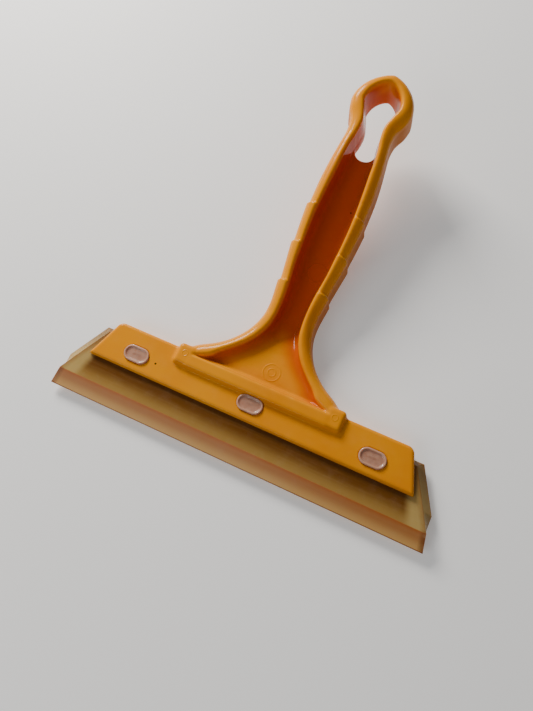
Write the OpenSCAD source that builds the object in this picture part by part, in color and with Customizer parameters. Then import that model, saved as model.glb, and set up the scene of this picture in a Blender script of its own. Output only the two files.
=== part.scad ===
// Hand squeegee applicator: one moulded trough handle with a blade bar, a
// flexible blade in the bar's slot, and three oval studs through both.
// It lies on the flat back of its bar and foot, and the grip rises from there.
// +X runs along the blade, +Y from the blade's edge to the hanging loop, and +Z
// is the open side of the trough.

/* [Overall] */
// Length of the blade's working edge
blade_w = 200; // [160:1:260]
// Length from the blade's edge to the top of the hanging loop
total_len = 210; // [208:0.5:215]

/* [Blade] */
// Thickness of the blade sheet
blade_t = 4.4; // [3:0.1:5]
// Depth of the blade from its edge to its hidden top
blade_h = 38; // [36:0.5:38.2]
// Thickness left along the working edge and the chamfered rim
edge_t = 0.9; // [0.6:0.1:1.5]
// Depth of the ground bevel at the working edge
bevel_h = 8.4; // [6:0.1:10]
// Height of the widest point above the working edge
shoulder_y = 17; // [16:0.5:19]
// Distance each blade end slants inwards up to the top
end_slant = 11.3; // [8:0.1:13]
// Width of the chamfer along each slanted blade end
end_chamfer = 4.6; // [2:0.1:5]
// Width of the chamfer along the blade's hidden top
top_chamfer = 2.8; // [1:0.1:3]
// Distance of the flexing line from the working edge
flex_y = 15; // [12:0.5:17]

/* [Bar] */
// Half the length of the bar along its lower edge
bar_low_x = 87.2; // [80:0.1:90]
// Half the length of the bar along its top edge
bar_top_x = 79.4; // [70:0.1:80]
// Lower edge of the bar, from the working edge
bar_low_y = 21; // [20:0.5:23]
// Top edge of the bar, from the working edge
bar_top_y = 42.4; // [41:0.1:44]
// Thickness of the bar
bar_t = 10; // [9.5:0.1:11]
// Thickness of the jaw behind the blade
rear_jaw_t = 2.9; // [2:0.1:3]
// Gap between the blade and each face of its slot
slot_gap = 0.1; // [0.05:0.01:0.2]
// Rounding of the bar's top edges
bar_round = 3; // [1:0.5:3.5]

/* [Rail] */
// Half the length of the foot rail
rail_x = 45; // [40:0.5:46]
// Lower edge of the rail, from the working edge
rail_low_y = 33.5; // [32:0.5:34]
// Inner edge of the rail, from the working edge
rail_in_y = 40.4; // [40:0.1:41]
// Top of the square ears at the rail's ends, from the working edge
ear_top_y = 44.6; // [44:0.1:45]
// Width of each ear
ear_w = 9.5; // [8:0.5:11]
// Height of the rail's face above the resting plane
rail_z = 12.8; // [12:0.1:14]

/* [Grip] */
// Thickness of the trough floor
floor_t = 3.2; // [2.5:0.1:4]
// Height of the shallow floor in the triangular foot
foot_floor_z = 7.2; // [6:0.1:8]
// Where the shallow floor ends and the ramp begins
ramp_top_y = 66; // [60:0.5:68]
// Length of the ramp down to the trough floor
ramp_len = 7; // [5:0.5:10]
// Where the flat back ends and the grip starts to rise
heel_y = 78; // [76:0.5:80]
// Slope of the grip's back, in degrees
back_tilt = 11; // [9:0.5:12]
// Height of each finger ridge
ridge_h = 0.8; // [0.4:0.1:1.2]
// Length over which a ridge fades out
ridge_len = 16; // [10:1:18]
// Lower end of the hanging hole
hole_low_y = 170; // [168:0.5:172]
// Radius of the hanging hole's lower end
hole_r = 6; // [5:0.1:6.5]
// Inner edge of the hanging hole's arch, from the working edge
hole_top_y = 205.2; // [203:0.1:206]

/* [Studs] */
// Distance of the outer studs from the middle one
stud_pitch = 63.4; // [55:0.1:66]
// Height of the studs above the working edge
stud_y = 29.6; // [28.5:0.1:31]
// Length of a stud's oval
stud_l = 13.6; // [12:0.1:15]
// Width of a stud's oval
stud_w = 8.4; // [7:0.1:9]
// Gap all round a stud
stud_gap = 0.08; // [0.05:0.01:0.15]
// Height of a stud's rim above the bar
stud_proud = 0.9; // [0.5:0.1:1.5]
// Width of a stud's raised rim
stud_rim = 1.1; // [0.8:0.1:1.5]

/* [Hidden] */
$fn = 48;
eps = 0.01;
big = 300;

// Half width of the handle's outline at heights above the working edge.
outer_stations = [
    [44.5, 42.3], [48, 37], [52, 30], [56, 24.9], [60, 21.2], [65, 17.7], [72, 14.6],
    [80, 13.2], [90, 13.3], [102, 14.1], [114, 15], [126, 15.4], [136, 15.4], [150, 15.2],
    [160, 14.4], [170, 13.1], [178, 12.3], [183, 13.1], [188, 15.4], [193, 16.7]];
// Width of the rim, measured square to the outline.
rim_stations = [
    [44.5, 8], [52, 6.6], [76, 6.5], [90, 5.9], [131, 5.6], [150, 6], [172, 5], [193, 5.6]];
// Height of the rim's face above the resting plane: level over the foot, then
// rising along the grip.
rim_z_stations = [
    [33, 12.6], [58, 12.8], [66, 13.2], [76, 14.7], [88, 17], [205, 41.9], [213, 43.4]];
// Where the three finger ridges start.
ridge_ys = [93, 114, 135];

blade_z = rear_jaw_t + slot_gap;
slot_t = blade_t + 2 * slot_gap;
slot_top_y = blade_h + 0.4;
flex_z = blade_z + blade_t / 2;
socket_gap = 0.1;
root_back = 1.2;
head_y = outer_stations[len(outer_stations) - 1][0];
head_x = outer_stations[len(outer_stations) - 1][1];
step_y = 1.5;

// Smooth curve through a list of [place, value] stations.
function station(t, y, i = 0) = (i >= len(t) - 2 || y < t[i + 1][0]) ? i : station(t, y, i + 1);
function slope(t, i) =
    (i <= 0 || i >= len(t) - 1)
        ? (t[max(i, 1)][1] - t[max(i, 1) - 1][1]) / (t[max(i, 1)][0] - t[max(i, 1) - 1][0])
        : (t[i + 1][1] - t[i - 1][1]) / (t[i + 1][0] - t[i - 1][0]);
function curve(t, y) =
    let (i = station(t, y), h = t[i + 1][0] - t[i][0], u = (y - t[i][0]) / h)
    (1 - u) * (1 - u) * (1 + 2 * u) * t[i][1] + u * (1 - u) * (1 - u) * h * slope(t, i)
    + u * u * (3 - 2 * u) * t[i + 1][1] - u * u * (1 - u) * h * slope(t, i + 1);

// A ridge rises at once on its upper side and fades away below.
function ridge(y) =
    max([for (r = ridge_ys) (y <= r && y > r - ridge_len) ? ridge_h * (1 - (r - y) / ridge_len) : 0]);

// Right-hand outline of the handle: the sides, then the arch of the loop.
function outer_side() = [for (y = [outer_stations[0][0] : step_y : head_y]) [curve(outer_stations, y), y]];
function arch(x, y, top) = [for (a = [0 : 6 : 90]) [x * pow(cos(a), 1.3), y + (top - y) * pow(sin(a), 0.95)]];
function outline() = concat(outer_side(), arch(head_x, head_y, total_len));

// The same outline moved inwards by the rim's width.
function inward(p, i) =
    let (a = p[max(i - 1, 0)], b = p[min(i + 1, len(p) - 1)], d = (b - a) / norm(b - a))
    p[i] + curve(rim_stations, min(p[i][1], head_y)) * [-d[1], d[0]];
function inner_side() = let (p = outer_side()) [for (i = [0 : len(p) - 1]) inward(p, i)];
function inner_outline() =
    let (p = [for (q = inner_side()) if (q[1] < head_y - 1) q], e = p[len(p) - 1])
    concat(p, arch(e[0], e[1] + step_y, hole_top_y));

// Height of the grip's back above the resting plane.
function back_z(y) = y < heel_y ? 0 : (y - heel_y) * tan(back_tilt);

function mirrored(p) = concat(p, [for (i = [len(p) - 1 : -1 : 0]) [-p[i][0], p[i][1]]]);
function ridged(p) = [for (q = p) q[1] < head_y ? [q[0] + ridge(q[1]), q[1]] : q];

// Places a piece so that the whole object's middle is at y = 0.
module placed() {
    translate([0, -total_len / 2, 0]) children();
}

// Solid that runs along X, drawn as a [y, z] profile.
module along_x(half_length) {
    rotate([90, 0, 90]) linear_extrude(height = 2 * half_length, center = true) children();
}

module rounded_rectangle(x0, y0, x1, y1, r) {
    translate([x0 + r, y0]) square([x1 - x0 - 2 * r, y1 - y0]);
    translate([x0, y0 + r]) square([x1 - x0, y1 - y0 - 2 * r]);
    for (x = [x0 + r, x1 - r], y = [y0 + r, y1 - r]) translate([x, y]) circle(r);
}

module oval(length, width) {
    square([length - width, width], center = true);
    for (side = [-1, 1]) translate([side * (length - width) / 2, 0]) circle(d = width);
}

// Side view of the grip, between its back and the rim's stepped face.
module grip_profile() {
    top_y = total_len + 1;
    top = [for (y = [top_y : -step_y : 30]) [y, curve(rim_z_stations, y) + 0.7 * ridge(y)]];
    along_x(60) polygon(concat([[30, 0], [heel_y, 0], [top_y, back_z(top_y)]], top));
}

module grip_solid() {
    intersection() {
        linear_extrude(height = 60) polygon(concat([[42.3, 30]], mirrored(ridged(outline())), [[-42.3, 30]]));
        grip_profile();
    }
}

module rail_solid() {
    linear_extrude(height = rail_z) {
        rounded_rectangle(-rail_x, rail_low_y, rail_x, rail_in_y + 1, 2);
        for (x = [-rail_x, rail_x - ear_w]) rounded_rectangle(x, rail_low_y, x + ear_w, ear_top_y, 2);
    }
}

module bar_solid() {
    intersection() {
        linear_extrude(height = bar_t) polygon([
            [-bar_low_x, bar_low_y], [bar_low_x, bar_low_y],
            [bar_top_x, bar_top_y], [-bar_top_x, bar_top_y]]);
        along_x(bar_low_x) {
            rounded_rectangle(bar_low_y + bar_round, 0, bar_top_y, bar_t, bar_round);
            rounded_rectangle(bar_low_y, 0, bar_top_y - bar_round, bar_t, 1);
        }
    }
}

// The trough above its floor: shallow in the foot, then a ramp, then deep.
module trough_space() {
    intersection() {
        linear_extrude(height = 60) polygon(mirrored(inner_outline()));
        along_x(60) polygon([
            [rail_in_y, foot_floor_z], [ramp_top_y, foot_floor_z], [ramp_top_y + ramp_len, floor_t],
            [heel_y, floor_t], [total_len, back_z(total_len) + floor_t], [total_len, 60], [rail_in_y, 60]]);
    }
}

module hanging_hole() {
    intersection() {
        translate([0, 0, -1]) linear_extrude(height = 60) polygon(mirrored(inner_outline()));
        translate([-30, hole_low_y + hole_r + 2, -1]) cube([60, 60, 60]);
    }
    translate([0, hole_low_y + hole_r, -1]) cylinder(r = hole_r, h = 60);
    translate([-hole_r, hole_low_y + hole_r, -1]) cube([2 * hole_r, 3, 60]);
}

module blade_slot() {
    translate([-big / 2, -1, rear_jaw_t]) cube([big, slot_top_y + 1, slot_t]);
}

// Calls its children at the three stud places, or at one of them.
module at_studs(places = [-1, 0, 1]) {
    for (i = places) translate([i * stud_pitch, stud_y, 0]) children();
}

module stud_hole() {
    translate([0, 0, -1]) linear_extrude(height = 20) oval(stud_l + 2 * stud_gap, stud_w + 2 * stud_gap);
}

module handle() {
    color("orange") placed() difference() {
        union() {
            grip_solid();
            rail_solid();
            bar_solid();
        }
        trough_space();
        hanging_hole();
        blade_slot();
        at_studs() stud_hole();
    }
}

// Whole blade: a wide back face, and a front face set in by the ground bevel
// and by the chamfers of the ends and the top.
module blade_blank() {
    low_x = blade_w / 2;
    mid_x = low_x - 2;
    top_x = mid_x - end_slant;
    front_top = blade_h - top_chamfer;
    hull() {
        translate([0, 0, blade_z]) linear_extrude(height = edge_t) polygon([
            [-low_x, 0], [low_x, 0], [mid_x, bevel_h], [mid_x, shoulder_y], [top_x, blade_h],
            [-top_x, blade_h], [-mid_x, shoulder_y], [-mid_x, bevel_h]]);
        translate([0, 0, blade_z + blade_t - eps]) linear_extrude(height = eps) polygon([
            [-mid_x, bevel_h], [mid_x, bevel_h], [top_x - end_chamfer + 1.4, front_top],
            [-top_x + end_chamfer - 1.4, front_top]]);
    }
}

// Round bar along the flexing line.
module flex_bar(r, length) {
    translate([0, flex_y, flex_z]) rotate([0, 90, 0]) cylinder(r = r, h = length, center = true);
}

// Part of the blade that stays in the slot.
module blade_root() {
    color("tan") placed() difference() {
        blade_blank();
        translate([-big / 2, -1, -1]) cube([big, flex_y + 1 + root_back, 20]);
        flex_bar(blade_t / 2 + socket_gap, big);
        at_studs() stud_hole();
    }
}

// Part of the blade that bends against the work.
module blade_lip() {
    color("goldenrod") placed() {
        difference() {
            blade_blank();
            translate([-big / 2, flex_y, -1]) cube([big, 40, 20]);
        }
        flex_bar(blade_t / 2, blade_w - 14);
    }
}

// Oval stud: flush behind, a raised rim and a gate mark in front.
module stud(place) {
    color("rosybrown") placed() at_studs([place]) {
        translate([0, 0, 0.2]) linear_extrude(height = bar_t + stud_proud - 0.7) oval(stud_l, stud_w);
        linear_extrude(height = bar_t + stud_proud) difference() {
            oval(stud_l, stud_w);
            oval(stud_l - 2 * stud_rim, stud_w - 2 * stud_rim);
        }
        cylinder(d = 1.6, h = bar_t + stud_proud - 0.2);
    }
}

module stud_left() { stud(-1); }
module stud_middle() { stud(0); }
module stud_right() { stud(1); }

handle();
blade_root();
blade_lip();
stud_left();
stud_middle();
stud_right();
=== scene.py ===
import math

import bpy
import numpy as np
from mathutils import Matrix, Vector


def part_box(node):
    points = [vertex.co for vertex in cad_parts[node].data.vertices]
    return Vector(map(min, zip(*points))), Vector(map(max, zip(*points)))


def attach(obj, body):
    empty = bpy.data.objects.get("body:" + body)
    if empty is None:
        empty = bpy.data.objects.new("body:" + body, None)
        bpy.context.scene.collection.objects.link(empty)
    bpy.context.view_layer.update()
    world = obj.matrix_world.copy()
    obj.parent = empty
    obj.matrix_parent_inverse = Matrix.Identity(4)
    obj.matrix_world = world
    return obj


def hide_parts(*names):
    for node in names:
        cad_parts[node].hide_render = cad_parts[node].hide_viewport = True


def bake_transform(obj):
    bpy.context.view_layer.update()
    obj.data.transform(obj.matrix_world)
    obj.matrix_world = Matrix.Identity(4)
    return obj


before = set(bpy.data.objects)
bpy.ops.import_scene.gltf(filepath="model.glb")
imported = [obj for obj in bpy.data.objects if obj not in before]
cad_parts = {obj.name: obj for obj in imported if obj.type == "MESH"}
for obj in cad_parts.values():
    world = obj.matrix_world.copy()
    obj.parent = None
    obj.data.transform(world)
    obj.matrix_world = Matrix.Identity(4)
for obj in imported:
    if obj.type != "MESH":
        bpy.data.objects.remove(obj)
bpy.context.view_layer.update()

# Places are in millimetres from the working edge; tipY is that edge in the row frame.
lipLow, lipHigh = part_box("blade_lip")
handleLow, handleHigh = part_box("handle")
tipY = lipLow.y * 1000
studPlaces = [(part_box(name)[0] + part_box(name)[1]) / 2 for name in ("stud_left", "stud_middle", "stud_right")]
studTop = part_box("stud_left")[1].z * 1000
bladeBack = lipLow.z * 1000
bladeFront = lipHigh.z * 1000
print("frame loaded")


# Shared tools.

def curve(stations, y):
    # Smooth curve through [place, value] stations, level beyond both ends.
    place = np.array([s[0] for s in stations], float)
    value = np.array([s[1] for s in stations], float)
    slope = np.gradient(value, place)
    y = np.clip(y, place[0], place[-1])
    i = np.clip(np.searchsorted(place, y, side="right") - 1, 0, len(place) - 2)
    h = place[i + 1] - place[i]
    u = (y - place[i]) / h
    return ((1 - u) ** 2 * (1 + 2 * u) * value[i] + u * (1 - u) ** 2 * h * slope[i]
            + u * u * (3 - 2 * u) * value[i + 1] - u * u * (1 - u) * h * slope[i + 1])


def smoothStep(t):
    t = np.clip(t, 0, 1)
    return t * t * (3 - 2 * t)


def rise(value, start, run):
    # Climbs from 0 to 1 over a run that begins at start.
    return smoothStep((value - start) / run)


def roundMax(a, b, r):
    # Intersection of two fields, with its edge rounded to radius r.
    return (np.minimum(-r, np.maximum(a, b))
            + np.sqrt(np.maximum(a + r, 0) ** 2 + np.maximum(b + r, 0) ** 2))


def roundMin(a, b, r):
    # Union of two fields, with its inner corner rounded to radius r.
    return -roundMax(-a, -b, r)


def outlineField(points, x, y):
    # Signed distance to a closed outline, negative inside.
    a = np.array(points, float)
    b = np.roll(a, -1, axis=0)
    shape = np.broadcast(x, y).shape
    px = np.broadcast_to(x, shape).ravel()
    py = np.broadcast_to(y, shape).ravel()
    best = np.full(px.shape, 1e9)
    inside = np.zeros(px.shape, bool)
    for (ax, ay), (bx, by) in zip(a, b):
        ex, ey = bx - ax, by - ay
        wx, wy = px - ax, py - ay
        t = np.clip((wx * ex + wy * ey) / (ex * ex + ey * ey + 1e-12), 0, 1)
        best = np.minimum(best, (wx - ex * t) ** 2 + (wy - ey * t) ** 2)
        if ay != by:
            crosses = (ay > py) != (by > py)
            inside ^= crosses & (px < ex * (py - ay) / ey + ax)
    return (np.sqrt(best) * np.where(inside, -1, 1)).reshape(shape)


def gathered(index, values, size):
    # Sum of the values that share an index.
    if values.ndim == 1:
        return np.bincount(index, values, size)
    return np.stack([np.bincount(index, values[:, k], size) for k in range(values.shape[1])], 1)


def surfaceOf(field, low, high, step):
    # Quad mesh of the zero level of a field, with its points moved onto the level.
    axes = [np.arange(low[k] - 2 * step, high[k] + 3 * step, step) for k in range(3)]
    value = field(axes[0][:, None, None], axes[1][None, :, None], axes[2][None, None, :])
    inside = value < 0
    cells = np.array(value.shape) - 1
    size = int(np.prod(cells))
    total, count, crossings = np.zeros((size, 3)), np.zeros(size), []
    for k in range(3):
        near = tuple(slice(0, -1) if j == k else slice(None) for j in range(3))
        far = tuple(slice(1, None) if j == k else slice(None) for j in range(3))
        at = np.argwhere(inside[near] != inside[far])
        v0, v1 = value[near][tuple(at.T)], value[far][tuple(at.T)]
        spot = at.astype(float)
        spot[:, k] += v0 / (v0 - v1)
        first, second = [j for j in range(3) if j != k]
        ring = []
        for d0, d1 in ((-1, -1), (0, -1), (0, 0), (-1, 0)):
            cell = at.copy()
            cell[:, first] += d0
            cell[:, second] += d1
            flat = np.ravel_multi_index(tuple(cell.T), tuple(cells))
            total += gathered(flat, spot, size)
            count += gathered(flat, np.ones(len(flat)), size)
            ring.append(flat)
        quad = np.stack(ring, 1)
        outward = (v0 < 0) if k != 1 else (v0 >= 0)
        quad[~outward] = quad[~outward][:, ::-1]
        crossings.append(quad)
    used = np.flatnonzero(count)
    number = np.full(size, -1)
    number[used] = np.arange(len(used))
    points = np.array([a[0] for a in axes]) + total[used] / count[used][:, None] * step
    quads = number[np.concatenate(crossings)]
    edge = np.concatenate([quads[:, [i, (i + 1) % 4]] for i in range(4)])
    size = len(points)
    links = gathered(edge[:, 0], np.ones(len(edge)), size) + gathered(edge[:, 1], np.ones(len(edge)), size)
    for turn in range(3):  # evens the points out, then puts them back onto the level
        pull = (gathered(edge[:, 0], points[edge[:, 1]], size)
                + gathered(edge[:, 1], points[edge[:, 0]], size))
        points = ontoLevel(field, points + 0.5 * (pull / links[:, None] - points))
    return ontoLevel(field, ontoLevel(field, points)), quads


def slopeOf(field, points, reach=0.05):
    x, y, z = points.T
    return np.stack([field(x + reach, y, z) - field(x - reach, y, z),
                     field(x, y + reach, z) - field(x, y - reach, z),
                     field(x, y, z + reach) - field(x, y, z - reach)], 1) / (2 * reach)


def ontoLevel(field, points, farthest=0.4, leastSlope=0.25):
    # One step of each point towards the zero level, no longer than farthest along any axis.
    slope = slopeOf(field, points)
    size = np.maximum((slope ** 2).sum(1), leastSlope)
    step = field(*points.T)[:, None] * slope / size[:, None]
    return points - np.clip(step, -farthest, farthest)


def meshObject(name, points, faces, material, smooth=True):
    # Points are in millimetres from the working edge.
    mesh = bpy.data.meshes.new(name)
    placed = (np.array(points, float) + [0, tipY, 0]) / 1000
    mesh.from_pydata(placed.tolist(), [], [list(map(int, f)) for f in faces])
    mesh.polygons.foreach_set("use_smooth", [smooth] * len(mesh.polygons))
    mesh.update()
    obj = bpy.data.objects.new(name, mesh)
    bpy.context.scene.collection.objects.link(obj)
    mesh.materials.append(material)
    return obj


def addLayers(mesh, **layers):
    # One number per point for each named layer, read by the materials.
    for name, value in layers.items():
        layer = mesh.attributes.new(name, "FLOAT", "POINT")
        layer.data.foreach_set("value", np.asarray(value, np.float32))


# Shared effects for the materials.

def newGroup(name, inputs, outputs):
    tree = bpy.data.node_groups.new(name, "ShaderNodeTree")
    for label, kind, value in inputs:
        socket = tree.interface.new_socket(label, in_out="INPUT", socket_type=kind)
        if value is not None:
            socket.default_value = value
    for label, kind in outputs:
        tree.interface.new_socket(label, in_out="OUTPUT", socket_type=kind)
    return tree, tree.nodes.new("NodeGroupInput"), tree.nodes.new("NodeGroupOutput")


def mathNode(tree, operation, a, b=None, clamp=False):
    node = tree.nodes.new("ShaderNodeMath")
    node.operation = operation
    node.use_clamp = clamp
    for i, value in enumerate((a, b)):
        if value is None:
            continue
        if isinstance(value, (int, float)):
            node.inputs[i].default_value = value
        else:
            tree.links.new(value, node.inputs[i])
    return node.outputs[0]


def timesNode(tree, a, b):
    return mathNode(tree, "MULTIPLY", a, b)


def sumNode(tree, a, b):
    return mathNode(tree, "ADD", a, b)


def mixNode(tree, factor, a, b):
    node = tree.nodes.new("ShaderNodeMix")
    node.data_type = "RGBA"
    for socket, value in ((node.inputs[0], factor), (node.inputs[6], a), (node.inputs[7], b)):
        if isinstance(value, (int, float)):
            socket.default_value = value
        elif isinstance(value, tuple):
            socket.default_value = (*value, 1)
        else:
            tree.links.new(value, socket)
    return node.outputs[2]


def noiseNode(tree, place, scale, detail=3.0, roughness=0.55):
    node = tree.nodes.new("ShaderNodeTexNoise")
    node.inputs["Scale"].default_value = scale
    node.inputs["Detail"].default_value = detail
    node.inputs["Roughness"].default_value = roughness
    tree.links.new(place, node.inputs["Vector"])
    return node.outputs["Fac"]


def rampNode(tree, value, low, high, start=0.0, end=1.0):
    node = tree.nodes.new("ShaderNodeMapRange")
    node.interpolation_type = "SMOOTHSTEP"
    for label, number in (("From Min", low), ("From Max", high), ("To Min", start), ("To Max", end)):
        node.inputs[label].default_value = number
    tree.links.new(value, node.inputs["Value"])
    return node.outputs["Result"]


def grainGroup():
    # Fine moulding grain and slow flow marks, as a height and a share for roughness.
    tree, given, made = newGroup(
        "mouldGrain", [("Place", "NodeSocketVector", None), ("Fine", "NodeSocketFloat", 900.0)],
        [("Height", "NodeSocketFloat"), ("Share", "NodeSocketFloat")])
    fine = tree.nodes.new("ShaderNodeTexNoise")
    fine.inputs["Detail"].default_value = 2.0
    tree.links.new(given.outputs["Place"], fine.inputs["Vector"])
    tree.links.new(given.outputs["Fine"], fine.inputs["Scale"])
    slow = noiseNode(tree, given.outputs["Place"], 60.0, 3.0)
    height = sumNode(tree, timesNode(tree, fine.outputs["Fac"], 0.25), timesNode(tree, slow, 0.75))
    tree.links.new(height, made.inputs["Height"])
    tree.links.new(slow, made.inputs["Share"])
    return tree


def wearGroup():
    # Rubbed edges: a painted edge amount broken up by noise.
    tree, given, made = newGroup(
        "edgeWear", [("Place", "NodeSocketVector", None), ("Edge", "NodeSocketFloat", 0.0),
                     ("Amount", "NodeSocketFloat", 0.5)], [("Mask", "NodeSocketFloat")])
    broken = rampNode(tree, noiseNode(tree, given.outputs["Place"], 240.0, 4.0), 0.42, 0.68)
    rubbed = mathNode(tree, "MULTIPLY", given.outputs["Edge"], broken, clamp=True)
    tree.links.new(timesNode(tree, rubbed, given.outputs["Amount"]), made.inputs["Mask"])
    return tree


def dustGroup():
    # Thin dust that lies on faces that point up, and a few dark specks.
    tree, given, made = newGroup(
        "dustAndSpecks", [("Place", "NodeSocketVector", None), ("Amount", "NodeSocketFloat", 0.05)],
        [("Dust", "NodeSocketFloat"), ("Speck", "NodeSocketFloat")])
    normal = tree.nodes.new("ShaderNodeNewGeometry")
    split = tree.nodes.new("ShaderNodeSeparateXYZ")
    tree.links.new(normal.outputs["Normal"], split.inputs[0])
    patch = rampNode(tree, noiseNode(tree, given.outputs["Place"], 140.0, 5.0, 0.7), 0.45, 0.75)
    level = timesNode(tree, rampNode(tree, split.outputs["Z"], 0.4, 1.0), patch)
    tree.links.new(timesNode(tree, level, given.outputs["Amount"]), made.inputs["Dust"])
    cells = tree.nodes.new("ShaderNodeTexVoronoi")
    cells.inputs["Scale"].default_value = 85.0
    tree.links.new(given.outputs["Place"], cells.inputs["Vector"])
    near = rampNode(tree, cells.outputs["Distance"], 0.03, 0.055, 1.0, 0.0)
    tint = tree.nodes.new("ShaderNodeSeparateXYZ")
    tree.links.new(cells.outputs["Color"], tint.inputs[0])
    rare = mathNode(tree, "GREATER_THAN", tint.outputs["X"], 0.93)
    tree.links.new(timesNode(tree, near, rare), made.inputs["Speck"])
    return tree


def ringGroup():
    # Round tool mark: a shallow ring about a given point, as a height.
    tree, given, made = newGroup(
        "toolRing", [("Place", "NodeSocketVector", None), ("Middle", "NodeSocketVector", None),
                     ("Radius", "NodeSocketFloat", 0.004), ("Width", "NodeSocketFloat", 0.0004)],
        [("Ring", "NodeSocketFloat")])
    apart = tree.nodes.new("ShaderNodeVectorMath")
    apart.operation = "DISTANCE"
    tree.links.new(given.outputs["Place"], apart.inputs[0])
    tree.links.new(given.outputs["Middle"], apart.inputs[1])
    off = mathNode(tree, "SUBTRACT", apart.outputs["Value"], given.outputs["Radius"])
    off = mathNode(tree, "ABSOLUTE", off)
    share = mathNode(tree, "DIVIDE", off, given.outputs["Width"])
    tree.links.new(mathNode(tree, "SUBTRACT", 1.0, share, clamp=True), made.inputs["Ring"])
    return tree


groups = {"grain": grainGroup(), "wear": wearGroup(), "dust": dustGroup(), "ring": ringGroup()}


def useGroup(tree, name, links, values):
    node = tree.nodes.new("ShaderNodeGroup")
    node.node_tree = groups[name]
    for label, source in links.items():
        tree.links.new(source, node.inputs[label])
    for label, value in values.items():
        node.inputs[label].default_value = value
    return node


def newMaterial(name):
    material = bpy.data.materials.new(name)
    material.use_nodes = True
    tree = material.node_tree
    shader = tree.nodes["Principled BSDF"]
    place = tree.nodes.new("ShaderNodeTexCoord").outputs["Object"]
    return material, tree, shader, place


def bumpOnto(tree, shader, height, strength, distance):
    bump = tree.nodes.new("ShaderNodeBump")
    bump.inputs["Strength"].default_value = strength
    bump.inputs["Distance"].default_value = distance
    tree.links.new(height, bump.inputs["Height"])
    tree.links.new(bump.outputs["Normal"], shader.inputs["Normal"])


def setSockets(shader, values):
    for label, value in values.items():
        shader.inputs[label].default_value = value


def attributeNode(tree, name):
    node = tree.nodes.new("ShaderNodeAttribute")
    node.attribute_name = name
    return node.outputs["Fac"]


print("tools ready")


# Handle: trough, loop, foot, rail and blade bar in one moulding.

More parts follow.
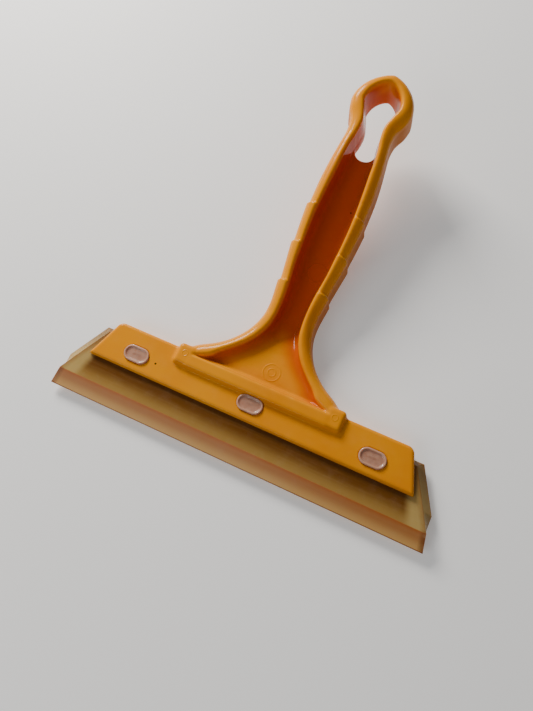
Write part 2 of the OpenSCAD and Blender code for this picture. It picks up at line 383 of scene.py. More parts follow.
handleSet = {
    "step": 0.66,  # mesh size
    "quickCoarser": 1.8,
    # Half widths, [place, half width], of the outer wall and of the trough and hole inside it.
    "outer": [[44.5, 41.5], [48, 36.6], [52, 29.8], [56, 24.7], [60, 21.0], [65, 17.5], [72, 14.4],
              [80, 13.0], [90, 13.2], [102, 14.0], [114, 14.9], [126, 15.3], [136, 15.3], [150, 15.1],
              [160, 14.3], [170, 13.0], [177, 12.2], [183, 13.0], [188, 15.5], [193.5, 16.8]],
    "inner": [[40.4, 36.5], [44, 29.0], [48, 25.2], [52, 20.8], [56, 16.6], [60, 13.2], [65, 10.2],
              [70, 8.2], [76, 7.2], [84, 7.0], [93, 7.6], [103, 8.8], [112, 9.3], [122, 9.8],
              [131, 9.9], [145, 9.3], [158, 8.4], [166, 8.0], [172, 7.2], [178, 5.9], [183, 5.8],
              [188, 7.4], [194, 9.7]],
    # Heights, [place, height], of the rim, the trough floor and the underside.
    "face": [[33, 12.6], [58, 12.8], [66, 13.3], [76, 14.8], [88, 17.2], [110, 21.8], [150, 30.2],
             [205, 41.6], [213, 42.6]],
    "floor": [[40, 7.2], [58, 7.2], [64, 6.8], [70, 5.0], [76, 3.5], [82, 3.9], [90, 5.5], [110, 9.4],
              [140, 15.3], [180, 23.0]],
    "back": [[70, 0.0], [76, 0.05], [82, 0.9], [90, 2.35], [100, 4.25], [120, 8.15], [150, 14.0],
             [213, 26.2]],
    "ridges": [93.4, 113.8, 134.4],
    "ridgeHeight": 0.95,
    "ridgeLength": 17.0,
    "ridgeStep": 0.9,
    "outerDraft": 0.07,
    "loopDraft": 0.03,
    "innerDraft": 0.10,
    "loopRise": (150, 30),  # a rise is where it begins and how long it runs
    "lean": 0.06,
    "leanRise": (140, 45),
    "leanDepth": 6,
    "faceTilt": 0.978,
    "backTilt": 0.985,
    "gripLow": 34,
    "outlineLow": 30.0,
    "archFrom": 193.5,
    "archTop": 211.8,
    "archBend": 1.35,
    "innerArchFrom": 194.0,
    "innerArchTop": 205.6,
    "innerArchBend": 1.3,
    "holeMiddle": 176.0,
    "holeRadius": 6.2,
    "barLow": 21.0,
    "barTop": 42.4,
    "barFront": 10.0,
    "barHalves": (87.2, 79.4),
    "endTilt": 0.94,
    "slotTop": 38.4,
    "slotRoom": 0.1,
    "window": (13.5, 8.3),
    "windowFloor": 2.0,
    "railBack": 0.4,
    "railLow": 33.5,
    "railIn": 40.4,
    "railLap": 1.0,
    "railTop": 12.8,
    "railHalf": 45.0,
    "earTop": 44.6,
    "earWidth": 9.5,
    # Radii of the rounded edges and corners.
    "rimRound": 5.2,
    "backRound": 1.0,
    "railRound": 2.2,
    "railCorner": 0.7,
    "troughFloorRound": 2.6,
    "troughFootRound": 1.2,
    "troughRimRound": 1.7,
    "holeCorner": 0.3,
    "holeSideRound": 0.6,
    "holeRimRound": 0.7,
    "barEndRound": 2.6,
    "barFootRound": 0.8,
    "barFrontRound": 1.8,
    "barCorner": 1.6,
    "slotRound": 0.3,
    "windowFloorRound": 0.2,
    "windowRimRound": 0.25,
    "room": (0, 4, 2),
    "overhang": (0, 2.0, 0.6),
    "tableStep": 0.4,
    "tableX": (-52.0, 52.01),
    "tableY": (28.0, 220.01),
    # Where the rubbed edges and the painted shade in the trough, the recess and on the outer wall begin, and how
    # fast they set in.
    "edgeReach": 0.5,
    "edgeRise": (0.35, 0.8),
    "deepSunk": (1.5, 10),
    "deepUp": (60, 18),
    "marginShare": 0.7,
    "marginSide": (-9, 8),
    "marginSunk": (1.0, 3),
    "marginPast": 1.0,
    "wallSunk": (2.0, 5),
    "wallUp": (44, 6),
    "wallThick": 2.5,
    # Tool marks: place, radius, width. Dots: place, radius.
    "toolRings": [(-40.2, 39.6, 12.8, 1.5, 0.35), (40.2, 39.6, 12.8, 1.5, 0.35),
                  (2.5, 49.0, 7.2, 4.4, 0.5), (2.5, 49.0, 7.2, 2.0, 0.45), (2.0, 106.8, 8.8, 5.0, 0.4)],
    "dots": [(-52.3, 29.2, 10.0, 0.75), (5.6, 142.0, 15.6, 0.6)],
    "color": (0.84, 0.31, 0.0),
    # Colour of the slow flow marks, and of the painted shade in the trough and the recess.
    "flowAndShadeColor": (0.54, 0.058, 0.0),
    # Painted shade on the outer walls.
    "wallShadeColor": (0.36, 0.060, 0.0),
    "paleColor": (0.90, 0.42, 0.02),
    "dustColor": (0.75, 0.62, 0.42),
    "speckColor": (0.06, 0.025, 0.004),
    "dotColor": (0.05, 0.03, 0.005),
}


def closedOutline(stations, low, top, archFrom, bend):
    # Half widths from low to archFrom, closed by an arch over the top, on both sides.
    ys = np.arange(low, archFrom + 0.01, 1.0)
    side = list(zip(curve(stations, ys), ys))
    x0, y0 = side[-1]
    arch = [(x0 * math.cos(a) ** bend, y0 + (top - y0) * math.sin(a))
            for a in np.radians(np.arange(5, 91, 5))]
    right = side + arch
    return right + [(-x, y) for x, y in reversed(right[:-1])]


def ridgeAmount(y):
    # Each thumb ridge climbs slowly towards the loop and drops in one step.
    s = handleSet
    best = 0
    for r in s["ridges"]:
        climb = np.clip(1 - (r - y) / s["ridgeLength"], 0, 1)
        drop = smoothStep((r + s["ridgeStep"] / 2 - y) / s["ridgeStep"])
        best = np.maximum(best, climb * drop)
    return best * s["ridgeHeight"]


def barHalf(y):
    # Half length of the blade bar, whose ends slant inwards.
    s = handleSet
    slant = (s["barHalves"][0] - s["barHalves"][1]) / (s["barTop"] - s["barLow"])
    return handleHigh.x * 1000 - slant * (y - s["barLow"])


def boxField(x, y, z, low, high, r):
    cx, cy, cz = [(a + b) / 2 for a, b in zip(low, high)]
    hx, hy, hz = [(b - a) / 2 for a, b in zip(low, high)]
    return roundMax(roundMax(np.abs(x - cx) - hx, np.abs(y - cy) - hy, r), np.abs(z - cz) - hz, r)


def ovalField(x, y, middle, length, width):
    reach = (length - width) / 2
    dx = np.maximum(np.abs(x - middle[0]) - reach, 0)
    return np.sqrt(dx ** 2 + (y - middle[1]) ** 2) - width / 2


def handleField(x, y, z):
    s = handleSet
    face = curve(s["face"], y)
    back = curve(s["back"], y)
    floor = curve(s["floor"], y)
    ridge = ridgeAmount(y)
    leanY = y - s["lean"] * rise(y, *s["leanRise"]) * (face - s["leanDepth"] - z)
    outer = readTable(outerTable, x, leanY)
    inner = readTable(innerTable, x, leanY)
    draft = s["outerDraft"] + (s["loopDraft"] - s["outerDraft"]) * rise(y, *s["loopRise"])
    outer = outer - draft * ((face + back) / 2 - z) - ridge
    inner = inner + s["innerDraft"] * (face - z)
    grip = roundMax(outer, (z - face - ridge) * s["faceTilt"], s["rimRound"])
    grip = roundMax(grip, (back - z) * s["backTilt"], s["backRound"])
    grip = np.maximum(grip, s["gripLow"] - y)

    # Rail across the foot, with a taller ear at each end.
    rail = boxField(x, y, z, (-s["railHalf"], s["railLow"], s["railBack"]),
                    (s["railHalf"], s["railIn"] + s["railLap"], s["railTop"]), s["railRound"])
    for side in (-1, 1):
        x0, x1 = sorted((side * s["railHalf"], side * (s["railHalf"] - s["earWidth"])))
        ear = boxField(x, y, z, (x0, s["railLow"], s["railBack"]), (x1, s["earTop"], s["railTop"]),
                       s["railRound"])
        rail = np.minimum(rail, ear)
    body = roundMin(grip, rail, s["railCorner"])

    trough = roundMax(inner, floor - z, s["troughFloorRound"])
    trough = roundMax(trough, s["railIn"] - y, s["troughFootRound"])
    body = roundMax(body, -trough, s["troughRimRound"])

    # Hanging hole: the trough outline cut right through, with a round lower end.
    end = np.sqrt(x ** 2 + (y - s["holeMiddle"]) ** 2) - s["holeRadius"]
    end = roundMin(end, s["holeMiddle"] - y, s["holeCorner"])
    body = roundMax(body, -roundMax(inner, end, s["holeSideRound"]), s["holeRimRound"])

    bar = roundMax((np.abs(x) - barHalf(y)) * s["endTilt"], y - s["barTop"], s["barEndRound"])
    bar = roundMax(bar, s["barLow"] - y, s["barFootRound"])
    bar = roundMax(bar, z - s["barFront"], s["barFrontRound"])
    bar = roundMax(bar, -z, s["barFootRound"])
    body = roundMin(body, bar, s["barCorner"])

    # Slot that holds the blade, and the three windows for the studs.
    slot = np.maximum(z - bladeFront - s["slotRoom"], bladeBack - s["slotRoom"] - z)
    body = roundMax(body, -np.maximum(slot, y - s["slotTop"]), s["slotRound"])
    for place in studPlaces:
        near = ovalField(x, y, (place.x * 1000, place.y * 1000 - tipY), *s["window"])
        window = roundMax(near, s["windowFloor"] - z, s["windowFloorRound"])
        body = roundMax(body, -window, s["windowRimRound"])
    return body


def outlineTable(line):
    # The outline's distance field on a fine grid, so that it is worked out once.
    s = handleSet
    gx, gy = np.arange(*s["tableX"], s["tableStep"]), np.arange(*s["tableY"], s["tableStep"])
    return gx, gy, outlineField(line, gx[:, None], gy[None, :])


def readTable(table, x, y):
    gx, gy, value = table
    step = handleSet["tableStep"]
    u = np.clip((x - gx[0]) / step, 0, len(gx) - 1.001)
    v = np.clip((y - gy[0]) / step, 0, len(gy) - 1.001)
    i, j = u.astype(np.int32), v.astype(np.int32)
    a, b = u - i, v - j
    return ((value[i, j] * (1 - a) + value[i + 1, j] * a) * (1 - b)
            + (value[i, j + 1] * (1 - a) + value[i + 1, j + 1] * a) * b)


def handleLayers(points):
    # How sharply the surface turns outwards, then painted shade: by how deep the surface lies in the trough and
    # near the recess walls, and on the outer wall.
    s = handleSet
    x, y, z = points.T
    reach = s["edgeReach"]
    steps = ((reach, 0, 0), (-reach, 0, 0), (0, reach, 0), (0, -reach, 0), (0, 0, reach), (0, 0, -reach))
    around = sum(handleField(x + dx, y + dy, z + dz) for dx, dy, dz in steps)
    start, run = s["edgeRise"]
    edge = np.clip((around / reach ** 2 - start) / run, 0, 1)
    sunk = curve(s["face"], y) - z
    depth = rise(sunk, *s["deepSunk"]) * rise(y, *s["deepUp"])
    # Painted shadow of the rims on the recess floor, beside its walls.
    toSide = (np.abs(x) - curve(s["inner"], y)) * s["marginShare"]
    margin = rise(toSide, *s["marginSide"]) * rise(sunk, *s["marginSunk"])
    depth = np.maximum(depth, margin) * (readTable(innerTable, x, y) < s["marginPast"])
    onWall = readTable(outerTable, x, y) > -s["wallThick"]
    return {"edge": edge, "depth": depth, "wall": rise(sunk, *s["wallSunk"]) * onWall * rise(y, *s["wallUp"])}


def buildHandle(material):
    s = handleSet
    low = (handleLow.x * 1000, handleLow.y * 1000 - tipY, handleLow.z * 1000)
    high = (handleHigh.x * 1000, handleHigh.y * 1000 - tipY, handleHigh.z * 1000)
    step = s["step"] * 1
    points, quads = surfaceOf(handleField, low, np.array(high) + s["room"], step)
    points = np.clip(points, np.array(low), np.array(high) + s["overhang"])
    obj = meshObject("handleMoulding", points, quads, material)
    addLayers(obj.data, **handleLayers(points))
    return obj


def handleMaterial():
    s = handleSet
    material, tree, shader, place = newMaterial("orangePlastic")
    grain = useGroup(tree, "grain", {"Place": place}, {"Fine": 1100.0})
    wear = useGroup(tree, "wear", {"Place": place, "Edge": attributeNode(tree, "edge")}, {"Amount": 0.35})
    dust = useGroup(tree, "dust", {"Place": place}, {"Amount": 0.02})
    flow = rampNode(tree, noiseNode(tree, place, 28.0, 4.0), 0.3, 0.75)
    color = mixNode(tree, timesNode(tree, flow, 0.25), s["color"], s["flowAndShadeColor"])
    # Painted shade deep in the trough and beside the recess walls.
    color = mixNode(tree, timesNode(tree, attributeNode(tree, "depth"), 0.85), color, s["flowAndShadeColor"])
    # Painted shade on the outer walls, lower down from the rim.
    color = mixNode(tree, timesNode(tree, attributeNode(tree, "wall"), 0.6), color, s["wallShadeColor"])
    color = mixNode(tree, wear.outputs["Mask"], color, s["paleColor"])
    color = mixNode(tree, dust.outputs["Dust"], color, s["dustColor"])
    color = mixNode(tree, timesNode(tree, dust.outputs["Speck"], 0.85), color, s["speckColor"])
    rough = sumNode(tree, timesNode(tree, grain.outputs["Share"], 0.12), 0.13)
    rough = sumNode(tree, rough, timesNode(tree, attributeNode(tree, "wall"), 0.3))
    rough = sumNode(tree, rough, timesNode(tree, wear.outputs["Mask"], 0.25))
    rough = sumNode(tree, rough, timesNode(tree, dust.outputs["Dust"], 0.6))
    tree.links.new(rough, shader.inputs["Roughness"])
    height = timesNode(tree, grain.outputs["Height"], 0.35)
    tip = tipY / 1000
    for x, y, z, radius, width in s["toolRings"]:
        ring = useGroup(tree, "ring", {"Place": place},
                        {"Middle": (x / 1000, tip + y / 1000, z / 1000), "Radius": radius / 1000,
                         "Width": width / 1000})
        height = sumNode(tree, height, timesNode(tree, ring.outputs["Ring"], 2.2))
    for x, y, z, radius in s["dots"]:
        dot = useGroup(tree, "ring", {"Place": place},
                       {"Middle": (x / 1000, tip + y / 1000, z / 1000), "Radius": 0.0,
                        "Width": radius / 1000})
        color = mixNode(tree, rampNode(tree, dot.outputs["Ring"], 0.1, 0.5), color, s["dotColor"])
    tree.links.new(color, shader.inputs["Base Color"])
    bumpOnto(tree, shader, height, 0.35, 0.00022)
    setSockets(shader, {"Subsurface Weight": 0.03, "Subsurface Radius": (0.006, 0.0022, 0.0003),
                        "Subsurface Scale": 1.0, "IOR": 1.49, "Specular IOR Level": 0.14})
    return material


outerTable = outlineTable(closedOutline(
    handleSet["outer"], handleSet["outlineLow"], handleSet["archTop"], handleSet["archFrom"],
    handleSet["archBend"]))
innerTable = outlineTable(closedOutline(
    handleSet["inner"], handleSet["railIn"], handleSet["innerArchTop"], handleSet["innerArchFrom"],
    handleSet["innerArchBend"]))
handle = buildHandle(handleMaterial())
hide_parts("handle")
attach(handle, "holder")
print("handle built", len(handle.data.polygons))


# Blade: one sheet, from the working edge up into the bar's slot.

bladeSet = {
    "bevel": 8.4,
    "shoulder": 17.0,
    "facetTop": 35.2,
    "top": 38.0,
    "edge": 0.9,
    # How far the ends come in: above the bevel, at the top behind, over the facet and at the top in front.
    "endIn": 2,
    "topIn": 13.3,
    "facetIn": 16.5,
    "frontTopIn": 14.0,
    "columns": 80,
    "inset": 0.992,
    "nearRim": 0.10,
    "rowStep": 0.8,
    "sideWidth": 0.6,
    "creaseNear": 0.01,
    "soften": 0.00018,
    "softenAngle": 18,
    # From and to, in metres from the working edge, for each change of colour.
    "barShade": (0.0085, 0.0170),
    "endShade": (0.0885, 0.0935),
    "tipHighlight": (0.0004, 0.0060),
    "bevelShadeBand": (0.0060, 0.0084),
    "bevelLine": (0.0082, 0.0088),
    "edgeLine": (0.0002, 0.0006),
    "slotShade": (0.018, 0.034),
    # Painted light and shade on the sheet: brown for the bar's shadow and the slot, pale for the lit ends, the
    # bevel's three colours for its painted reflection and tip highlight, rim for the shaded ends and creases.
    "tan": (0.36, 0.205, 0.050),
    "brown": (0.14, 0.050, 0.005),
    "pale": (0.52, 0.36, 0.12),
    "bevelColor": (0.50, 0.20, 0.060),
    "gold": (0.72, 0.42, 0.13),
    "bevelShade": (0.48, 0.12, 0.012),
    "rim": (0.20, 0.060, 0.012),
    "tip": (0.20, 0.05, 0.012),
    "streakColor": (0.66, 0.42, 0.17),
    "dustColor": (0.70, 0.60, 0.45),
    "wornColor": (0.60, 0.34, 0.15),
}


def bladeMaterial():
    s = bladeSet
    material, tree, shader, place = newMaterial("amberUrethane")
    split = tree.nodes.new("ShaderNodeSeparateXYZ")
    tree.links.new(place, split.inputs[0])
    up = mathNode(tree, "SUBTRACT", split.outputs["Y"], tipY / 1000)
    along = mathNode(tree, "ABSOLUTE", split.outputs["X"])
    slow = noiseNode(tree, place, 45.0, 4.0)
    wobble = timesNode(tree, mathNode(tree, "SUBTRACT", slow, 0.5), 0.002)
    # Painted shadow of the bar: dark brown close to the bar, fading to tan towards the bevel, with the slanted
    # ends painted pale as lit outside that shadow.
    toBar = rampNode(tree, sumNode(tree, up, wobble), *s["barShade"])
    outward = sumNode(tree, sumNode(tree, along, timesNode(tree, up, 0.3)), wobble)
    toEnd = rampNode(tree, outward, *s["endShade"])
    main = mixNode(tree, toBar, s["tan"], s["brown"])
    main = mixNode(tree, timesNode(tree, toEnd, 0.85), main, s["pale"])
    # Painted reflection on the bevel: orange-brown, with a painted golden highlight along the tip and a painted
    # darker band just below the bevel line.
    toTip = rampNode(tree, sumNode(tree, up, timesNode(tree, wobble, 0.25)), *s["tipHighlight"], 1.0, 0.0)
    bevel = mixNode(tree, toTip, s["bevelColor"], s["gold"])
    toBevelShade = rampNode(tree, up, *s["bevelShadeBand"])
    bevel = mixNode(tree, timesNode(tree, toBevelShade, 0.6), bevel, s["bevelShade"])
    color = mixNode(tree, rampNode(tree, up, *s["bevelLine"]), bevel, main)
    color = mixNode(tree, rampNode(tree, up, *s["edgeLine"], 0.9, 0.0), color, s["tip"])
    side = attributeNode(tree, "side")
    # Painted shade on the end faces and along the facet creases; the same end mask also drives the rubbed wear
    # below.
    color = mixNode(tree, timesNode(tree, side, 0.8), color, s["rim"])
    color = mixNode(tree, timesNode(tree, attributeNode(tree, "crease"), 0.55), color, s["rim"])
    # Painted shade on the part of the sheet under the bar and in the slot.
    color = mixNode(tree, rampNode(tree, up, *s["slotShade"], 0.0, 0.6), color, s["brown"])
    streak = tree.nodes.new("ShaderNodeMapping")
    streak.inputs["Scale"].default_value = (14.0, 260.0, 260.0)
    tree.links.new(place, streak.inputs["Vector"])
    lines = noiseNode(tree, streak.outputs["Vector"], 3.0, 3.0)
    streaks = timesNode(tree, rampNode(tree, lines, 0.45, 0.75), 0.05)
    color = mixNode(tree, streaks, color, s["streakColor"])
    dust = useGroup(tree, "dust", {"Place": place}, {"Amount": 0.03})
    color = mixNode(tree, dust.outputs["Dust"], color, s["dustColor"])
    wear = useGroup(tree, "wear", {"Place": place, "Edge": side}, {"Amount": 0.4})
    color = mixNode(tree, wear.outputs["Mask"], color, s["wornColor"])
    tree.links.new(color, shader.inputs["Base Color"])
    grain = useGroup(tree, "grain", {"Place": place}, {"Fine": 1500.0})
    rough = sumNode(tree, timesNode(tree, grain.outputs["Share"], 0.25), 0.20)
    rough = sumNode(tree, rough, timesNode(tree, dust.outputs["Dust"], 0.8))
    tree.links.new(rough, shader.inputs["Roughness"])
    height = sumNode(tree, timesNode(tree, grain.outputs["Height"], 0.4), timesNode(tree, lines, 0.6))
    bumpOnto(tree, shader, height, 0.25, 0.00015)
    setSockets(shader, {"Subsurface Weight": 0.25, "Subsurface Radius": (0.004, 0.002, 0.0008),
                        "Subsurface Scale": 1.0, "IOR": 1.5, "Specular IOR Level": 0.2})
    return material


def buildBlade(material):
    # Rings of points from the working edge up: the back, the end, the front and the other end.
    s = bladeSet
    half = lipHigh.x * 1000
    upper = half - s["endIn"]
    thick = bladeFront - bladeBack
    backAt = [0, s["bevel"], s["shoulder"], s["top"]]
    frontAt = [0, s["bevel"], s["facetTop"], s["top"]]
    ys = sorted(set(np.round(np.concatenate([
        np.arange(0, s["top"], s["rowStep"]), [s["shoulder"]], frontAt[1:]]), 3)))
    backHalf = np.interp(ys, backAt, [half, upper, upper, half - s["topIn"]])
    frontHalf = np.interp(ys, frontAt, [half, upper, half - s["facetIn"], half - s["frontTopIn"]])
    front = np.interp(ys, frontAt, [s["edge"], thick, thick, s["edge"]])
    n = s["columns"]
    points, faces, side = [], [], []
    across = np.linspace(-1, 1, n + 1)
    ringSize = 2 * (n + 1) + 6
    for y, xb, xf, top in zip(ys, backHalf, frontHalf, front):
        low, high = bladeBack, bladeBack + top
        lip = bladeBack + min(s["edge"], top)
        for t in across:
            points.append((t * xb, y, low))
        xf = min(xf, xb)
        slant = [(xb + (xf - xb) * t, y, lip + (high - lip) * t)
                 for t in (0, s["nearRim"], 1 - s["nearRim"])]
        points.extend(slant)
        for t in across[::-1]:
            points.append((xf * (t if abs(t) == 1 else t * s["inset"]), y, high))
        points.extend((-px, py, pz) for px, py, pz in slant[::-1])
    for i in range(len(ys) - 1):
        for j in range(ringSize):
            k = (j + 1) % ringSize
            a, b = i * ringSize, (i + 1) * ringSize
            faces.append((a + j, b + j, b + k, a + k))
    last = (len(ys) - 1) * ringSize
    for base, flip in ((0, False), (last, True)):
        for j in range(n):
            top0, top1 = 2 * n + 4 - j, 2 * n + 3 - j
            quad = (base + j, base + j + 1, base + top1, base + top0)
            faces.append(quad[::-1] if flip else quad)
        right = tuple(base + n + k for k in range(5))
        left = (base, *(base + 2 * n + 4 + k for k in range(4)))
        faces.append(right[::-1] if flip else right)
        faces.append(left[::-1] if flip else left)
    obj = meshObject("bladeSheet", points, faces, material, smooth=False)
    pts = np.array(points)
    endLine = np.interp(pts[:, 1], ys, backHalf)
    side = np.clip(1 - (endLine - np.abs(pts[:, 0])) / s["sideWidth"], 0, 1)
    creaseLine = np.minimum(np.interp(pts[:, 1], ys, frontHalf), endLine)
    onFront = pts[:, 2] > bladeBack + s["edge"] + 0.05
    crease = (np.abs(np.abs(pts[:, 0]) - creaseLine) < s["creaseNear"]) * onFront
    soften = obj.modifiers.new("soften", "BEVEL")
    soften.width = s["soften"]
    soften.segments = 2
    soften.limit_method = "ANGLE"
    soften.angle_limit = math.radians(s["softenAngle"])
    addLayers(obj.data, side=side, crease=crease)
    return bakeModifiers(obj)


def bakeModifiers(obj):
    # Turns what the modifiers make into the piece's own mesh.
    bpy.context.view_layer.update()
    graph = bpy.context.evaluated_depsgraph_get()
    mesh = bpy.data.meshes.new_from_object(
        obj.evaluated_get(graph), preserve_all_data_layers=True, depsgraph=graph)
    obj.modifiers.clear()
    obj.data = mesh
    mesh.name = obj.name
    return obj


blade = buildBlade(bladeMaterial())
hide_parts("blade_root", "blade_lip")
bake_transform(blade)
print("blade built", len(blade.data.polygons))


# Studs: clear rose ovals with a raised rim.

studSet = {
    "length": 13.6,
    "width": 8.4,
    "segments": 64,
    "flatFrom": 3.2,  # inset past which the rings close in lengthways too
    "turnSeed": 4,
    "color": (0.52, 0.245, 0.155),
    "cloudColor": (0.62, 0.33, 0.22),
    "rimHighlightColor": (0.66, 0.36, 0.24),
    "markColor": (0.24, 0.07, 0.04),
    "dustColor": (0.8, 0.7, 0.6),
}


def studMaterial():
    s = studSet
    material, tree, shader, place = newMaterial("roseClearStud")
    slow = noiseNode(tree, place, 420.0, 5.0, 0.65)
    color = mixNode(tree, rampNode(tree, slow, 0.35, 0.7), s["color"], s["cloudColor"])
    # Painted highlight on the raised rim.
    color = mixNode(tree, attributeNode(tree, "rim"), color, s["rimHighlightColor"])
    color = mixNode(tree, timesNode(tree, attributeNode(tree, "mark"), 0.3), color, s["markColor"])
    dust = useGroup(tree, "dust", {"Place": place}, {"Amount": 0.15})
    color = mixNode(tree, dust.outputs["Dust"], color, s["dustColor"])
    tree.links.new(color, shader.inputs["Base Color"])
    grain = useGroup(tree, "grain", {"Place": place}, {"Fine": 2200.0})
    rough = sumNode(tree, timesNode(tree, grain.outputs["Share"], 0.3), 0.15)
    tree.links.new(rough, shader.inputs["Roughness"])
    bumpOnto(tree, shader, sumNode(tree, grain.outputs["Height"], slow), 0.35, 0.0002)
    setSockets(shader, {"Subsurface Weight": 0.3, "Subsurface Radius": (0.003, 0.0018, 0.0012),
                        "Subsurface Scale": 1.0, "Transmission Weight": 0.15, "IOR": 1.5,
                        "Coat Weight": 0.5, "Coat Roughness": 0.08})
    return material


def buildStud():
    # One stud about its own middle: rings of the oval, from the back up over the rim to the middle.
    s = studSet
    top = studTop
    half = s["width"] / 2
    reach = (s["length"] - s["width"]) / 2
    # Inset from the side, height, and how much of the painted rim highlight each ring takes.
    rings = [(0.55, 0.05, 0), (0.0, 0.45, 0), (0.0, top - 0.45, 0.8), (0.13, top - 0.16, 0.9),
             (0.38, top - 0.02, 1), (0.62, top, 1), (0.9, top - 0.06, 0.9), (1.1, top - 0.26, 0.4),
             (1.3, top - 0.52, 0), (1.7, top - 0.62, 0), (2.3, top - 0.66, 0), (2.9, top - 0.66, 0),
             (3.3, top - 0.66, 0), (3.55, top - 0.64, 0), (3.75, top - 0.62, 0), (4.0, top - 0.62, 0)]
    n = s["segments"]
    points, rim, faces = [], [], []
    for inset, z, amount in rings:
        r = half - inset
        for i in range(n):
            a = 2 * math.pi * (i + 0.5) / n
            shift = reach if math.cos(a) > 0 else -reach
            if inset > s["flatFrom"]:
                shift *= (half - inset) / (half - s["flatFrom"])
            points.append((shift + r * math.cos(a), r * math.sin(a), z))
            rim.append(amount)
    for k in range(len(rings) - 1):
        for i in range(n):
            j = (i + 1) % n
            faces.append((k * n + i, k * n + j, (k + 1) * n + j, (k + 1) * n + i))
    faces.append(tuple(range(n))[::-1])
    faces.append(tuple((len(rings) - 1) * n + i for i in range(n)))
    mark = [1.0 if k >= (len(rings) - 2) * n else 0.0 for k in range(len(points))]
    mesh = bpy.data.meshes.new("studSeed")
    mesh.from_pydata([(x / 1000, y / 1000, z / 1000) for x, y, z in points], [], faces)
    mesh.polygons.foreach_set("use_smooth", [True] * len(mesh.polygons))
    addLayers(mesh, rim=rim, mark=mark)
    seed = bpy.data.objects.new("studSeed", mesh)
    bpy.context.scene.collection.objects.link(seed)
    seed.hide_render = True
    return seed


def studRow(seed, material):
    # Instances of the seed along the bar, turned end for end by chance, made into one mesh.
    tree = bpy.data.node_groups.new("studRow", "GeometryNodeTree")
    sockets = {}
    for label, kind in (("Stud", "NodeSocketObject"), ("Count", "NodeSocketInt"),
                        ("Start", "NodeSocketVector"), ("Step", "NodeSocketVector"),
                        ("Seed", "NodeSocketInt"), ("Material", "NodeSocketMaterial")):
        sockets[label] = tree.interface.new_socket(label, in_out="INPUT", socket_type=kind)
    tree.interface.new_socket("Geometry", in_out="OUTPUT", socket_type="NodeSocketGeometry")
    given, made = tree.nodes.new("NodeGroupInput"), tree.nodes.new("NodeGroupOutput")
    line = tree.nodes.new("GeometryNodeMeshLine")
    source = tree.nodes.new("GeometryNodeObjectInfo")
    spread = tree.nodes.new("GeometryNodeInstanceOnPoints")
    chance = tree.nodes.new("FunctionNodeRandomValue")
    chance.data_type = "INT"
    chance.inputs[4].default_value = 0
    chance.inputs[5].default_value = 1
    turn = tree.nodes.new("ShaderNodeMath")
    turn.operation = "MULTIPLY"
    turn.inputs[1].default_value = math.pi
    angle = tree.nodes.new("ShaderNodeCombineXYZ")
    real = tree.nodes.new("GeometryNodeRealizeInstances")
    paint = tree.nodes.new("GeometryNodeSetMaterial")
    join = tree.links.new
    join(given.outputs["Count"], line.inputs["Count"])
    join(given.outputs["Start"], line.inputs["Start Location"])
    join(given.outputs["Step"], line.inputs["Offset"])
    join(given.outputs["Stud"], source.inputs["Object"])
    join(given.outputs["Seed"], chance.inputs["Seed"])
    join(line.outputs["Mesh"], spread.inputs["Points"])
    join(source.outputs["Geometry"], spread.inputs["Instance"])
    join(chance.outputs[2], turn.inputs[0])
    join(turn.outputs[0], angle.inputs["Z"])
    join(angle.outputs[0], spread.inputs["Rotation"])
    join(spread.outputs["Instances"], real.inputs["Geometry"])
    join(real.outputs["Geometry"], paint.inputs["Geometry"])
    join(given.outputs["Material"], paint.inputs["Material"])
    join(paint.outputs["Geometry"], made.inputs["Geometry"])
    mesh = bpy.data.meshes.new("studs")
    obj = bpy.data.objects.new("studs", mesh)
    bpy.context.scene.collection.objects.link(obj)
    modifier = obj.modifiers.new("row", "NODES")
    modifier.node_group = tree
    start = studPlaces[0]
    values = {"Stud": seed, "Count": len(studPlaces), "Start": (start.x, start.y, 0.0),
              "Step": (studPlaces[1].x - start.x, studPlaces[1].y - start.y, 0.0),
              "Seed": studSet["turnSeed"], "Material": material}
    for label, value in values.items():
        modifier[sockets[label].identifier] = value
    obj.update_tag()
    return bakeModifiers(obj)


studPlastic = studMaterial()
studSeed = buildStud()
studs = studRow(studSeed, studPlastic)
bpy.data.objects.remove(studSeed)
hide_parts("stud_left", "stud_middle", "stud_right")
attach(studs, "holder")
print("studs built", len(studs.data.polygons))


# Floor, light and camera.

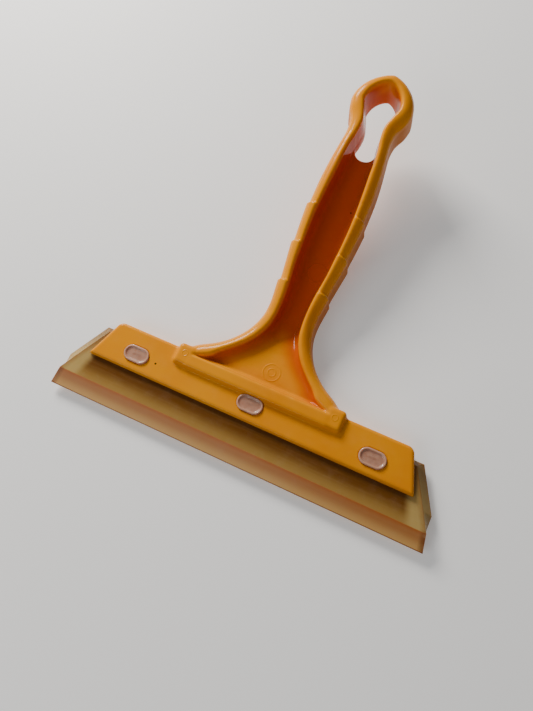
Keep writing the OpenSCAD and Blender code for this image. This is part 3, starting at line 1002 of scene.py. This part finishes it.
stageSet = {
    "floorColor": (0.90, 0.90, 0.90),
    "floorGlow": 0.22,
    "skyColor": (1.0, 0.98, 0.95),
    "skyLight": 0.16,
    "key": {"place": (-0.50, 0.40, 0.34), "size": (0.28, 0.24), "power": 7.6, "color": (1.0, 0.96, 0.90)},
    "fill": {"place": (-0.25, -0.50, 0.45), "size": (0.5, 0.3), "power": 1.1, "color": (1, 1, 1)},
    "sensor": 36.0,
    "focal": 31.3924,
    "eye": (0.0562, -0.1269, 0.3015),
    "forward": (-0.19274, 0.25150, -0.94847),
    "up": (-0.38071, 0.87171, 0.30851),
}


def addFloor():
    bpy.ops.mesh.primitive_plane_add(size=6.0, location=(0, 0, 0))
    floor = bpy.context.object
    floor.name = "floor"
    material = bpy.data.materials.new("paleFloor")
    material.use_nodes = True
    shader = material.node_tree.nodes["Principled BSDF"]
    setSockets(shader, {"Base Color": (*stageSet["floorColor"], 1), "Roughness": 0.6,
                        "Specular IOR Level": 0.2, "Emission Color": (1, 1, 1, 1),
                        "Emission Strength": stageSet["floorGlow"]})
    floor.data.materials.append(material)
    return floor


def addLight(name):
    # A soft panel that faces the middle of the part.
    s = stageSet[name]
    data = bpy.data.lights.new(name, "AREA")
    data.shape = "RECTANGLE"
    data.size, data.size_y = s["size"]
    data.energy = s["power"]
    data.color = s["color"]
    light = bpy.data.objects.new(name, data)
    light.location = s["place"]
    light.rotation_mode = "QUATERNION"
    light.rotation_quaternion = (-Vector(s["place"])).to_track_quat("-Z", "Y")
    bpy.context.scene.collection.objects.link(light)


def addCamera():
    s = stageSet
    data = bpy.data.cameras.new("camera")
    data.lens = s["focal"]
    data.sensor_width = s["sensor"]
    data.sensor_fit = "AUTO"
    data.clip_start, data.clip_end = 0.01, 20
    camera = bpy.data.objects.new("camera", data)
    forward = Vector(s["forward"]).normalized()
    up = (Vector(s["up"]) - forward * forward.dot(Vector(s["up"]))).normalized()
    right = forward.cross(up)
    turn = Matrix((right, up, -forward)).transposed()
    camera.matrix_world = Matrix.Translation(Vector(s["eye"])) @ turn.to_4x4()
    bpy.context.scene.collection.objects.link(camera)
    bpy.context.scene.camera = camera


addFloor()
addLight("key")
addLight("fill")
world = bpy.data.worlds.new("studio")
world.use_nodes = True
setSockets(world.node_tree.nodes["Background"],
           {"Color": (*stageSet["skyColor"], 1), "Strength": stageSet["skyLight"]})
bpy.context.scene.world = world
addCamera()
print("stage set")
